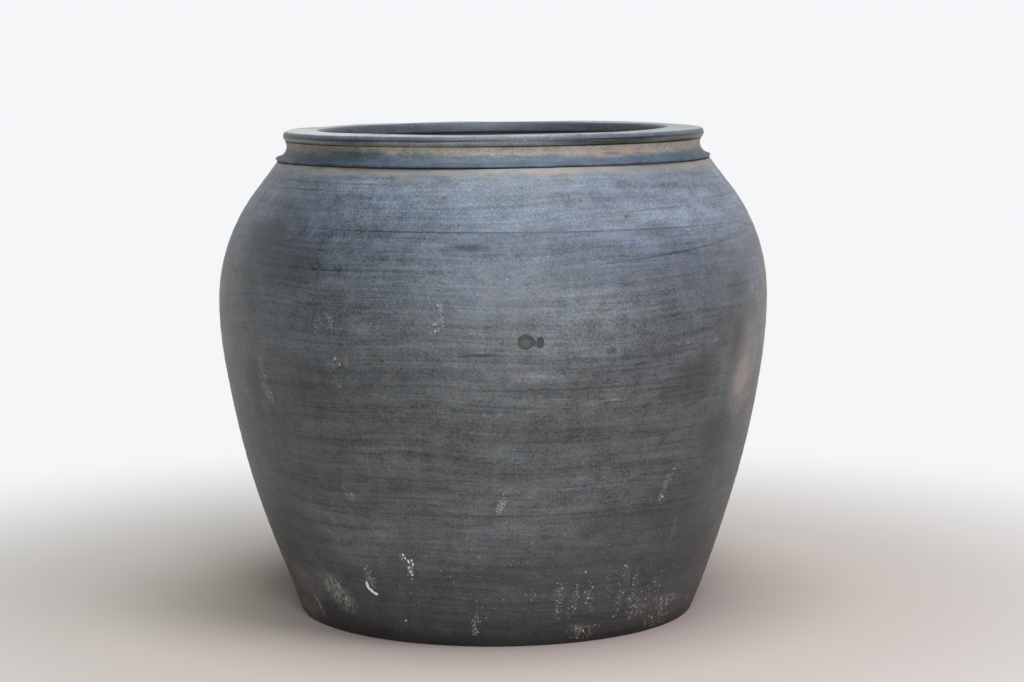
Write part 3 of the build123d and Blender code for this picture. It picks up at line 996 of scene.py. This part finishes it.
# The pale top is partly wear by hands and lids and partly a painted sheen, and it is palest on the left.
top = times(tree, ramp(tree, true_height, 403.4, 404.0), ramp(tree, inner, 0.9, 0.2))
patchy = total(tree, 0.5, (clay["Clouds"], 1.4), (clay["Grain"], 1.0), (clay["Mottle"], 1.6))
rim_wear_and_sheen = times(tree, top, ramp(tree, patchy, 0.1, 0.7))
tone = blend(tree, rim_wear_and_sheen, tone, (0.41, 0.395, 0.37))
most_wear_and_sheen = times(tree, rim_wear_and_sheen, marks(tree, where, (-70, 404, 62, 9, 1.1)))
tone = blend(tree, most_wear_and_sheen, tone, (0.58, 0.56, 0.53))
specks = use(tree, fleck_group, place=place, density=0.012, size=1.3)
tone = blend(tree, times(tree, specks["Mask"], 0.6), tone, (0.45, 0.44, 0.40))
inwards = ramp(tree, where["Radius"], 173.0, 165.0, 0.0, 9.0)
shade_below = ramp(tree, plus(tree, true_height, inwards), 396.6, 395.9)
tone = blend(tree, shade_below, tone, (0.030, 0.027, 0.024))
height = plus(tree, times(tree, clay["Height"], 1.1), times(tree, lines["Fine"], 0.08))
rough = total(tree, 0.46, (clay["Clouds"], 0.25), (clay["Grain"], 0.3), (clay["Mottle"], 0.2))
rough = plus(tree, rough, times(tree, rim_wear_and_sheen, 0.06))
join_shader(tree, shader, tone, height, rough)
finish_piece(rim, "rim_flange", "rim_clay", rim_material)

# --------------------------------------
# Floor, light and camera
# A plain pale floor that fades into a white surround, a white wall's light from behind, soft lamps
# overhead, in front and to the right, and a camera at standing distance, a little above the rim.
# --------------------------------------
floor_size = 3.0
corners = [(x * floor_size, y * floor_size, 0) for x, y in ((-1, -1), (1, -1), (1, 1), (-1, 1))]
floor_mesh = bpy.data.meshes.new("pale_floor")
floor_mesh.from_pydata(corners, [], [(0, 1, 2, 3)])
floor = bpy.data.objects.new("pale_floor", floor_mesh)
bpy.context.scene.collection.objects.link(floor)
floor_material = bpy.data.materials.new("pale_floor")
floor_material.use_nodes = True
tree = floor_material.node_tree
tree.nodes.clear()
place = put(tree, "ShaderNodeTexCoord").outputs["Object"]
reach = put(tree, "ShaderNodeVectorMath", {0: place}, operation="LENGTH").outputs["Value"]
pale = put(tree, "ShaderNodeBsdfPrincipled", {"Base Color": (0.60, 0.49, 0.425, 1), "Roughness": 0.8})
clear = put(tree, "ShaderNodeBsdfTransparent")
fade = ramp(tree, reach, 0.24, 0.9)
mixed = put(tree, "ShaderNodeMixShader", {0: fade, 1: pale.outputs[0], 2: clear.outputs[0]})
put(tree, "ShaderNodeOutputMaterial", {"Surface": mixed.outputs[0]})
floor_mesh.materials.append(floor_material)

world = bpy.data.worlds.new("white_surround")
bpy.context.scene.world = world
world.use_nodes = True
tree = world.node_tree
tree.nodes.clear()
seen = put(tree, "ShaderNodeLightPath").outputs["Is Camera Ray"]
shown = put(tree, "ShaderNodeBackground", {"Color": (0.91, 0.92, 0.94, 1), "Strength": 1.0})
way = put(tree, "ShaderNodeSeparateXYZ", {0: put(tree, "ShaderNodeTexCoord").outputs["Generated"]}).outputs
behind = times(tree, ramp(tree, way["Y"], -0.1, 0.6), ramp(tree, way["Z"], 0.15, 0.75, 1.0, 0.0))
lit = put(tree, "ShaderNodeBackground", {"Color": (1.05, 1.05, 1.02, 1), "Strength": behind})
both = put(tree, "ShaderNodeMixShader", {0: seen, 1: lit.outputs[0], 2: shown.outputs[0]})
put(tree, "ShaderNodeOutputWorld", {"Surface": both.outputs[0]})


def soft_light(name, place, size, power, colour):
    """A round soft lamp, aimed at the middle of the jar."""
    lamp = bpy.data.lights.new(name, "AREA")
    lamp.shape = "DISK"
    lamp.size = size
    lamp.energy = power
    lamp.color = colour
    made = bpy.data.objects.new(name, lamp)
    made.location = place
    made.rotation_mode = "QUATERNION"
    made.rotation_quaternion = (Vector((0, 0, 0.2)) - Vector(place)).to_track_quat("-Z", "Y")
    bpy.context.scene.collection.objects.link(made)


soft_light("front_light", (0.2, -2.6, 0.9), 1.4, 58.8, (0.87, 0.94, 1.0))
soft_light("right_light", (1.6, -1.2, 1.7), 1.4, 21.3, (0.89, 0.85, 1.0))
soft_light("overhead_light", (0.1, -0.4, 2.4), 1.4, 37.2, (0.81, 0.95, 1.0))

camera_roll = math.radians(-0.35)
eye = Vector((0, -2.169, 0.481))
aim = Vector((0.0152, 0, 0.2245))
camera_data = bpy.data.cameras.new("camera")
camera_data.lens = 90.8
camera_data.sensor_width = 36
camera = bpy.data.objects.new("camera", camera_data)
camera.location = eye
camera.rotation_mode = "QUATERNION"
camera.rotation_quaternion = (aim - eye).to_track_quat("-Z", "Y") @ Quaternion((0, 0, 1), camera_roll)
bpy.context.scene.collection.objects.link(camera)
bpy.context.scene.camera = camera
bpy.context.scene.view_settings.view_transform = "Standard"
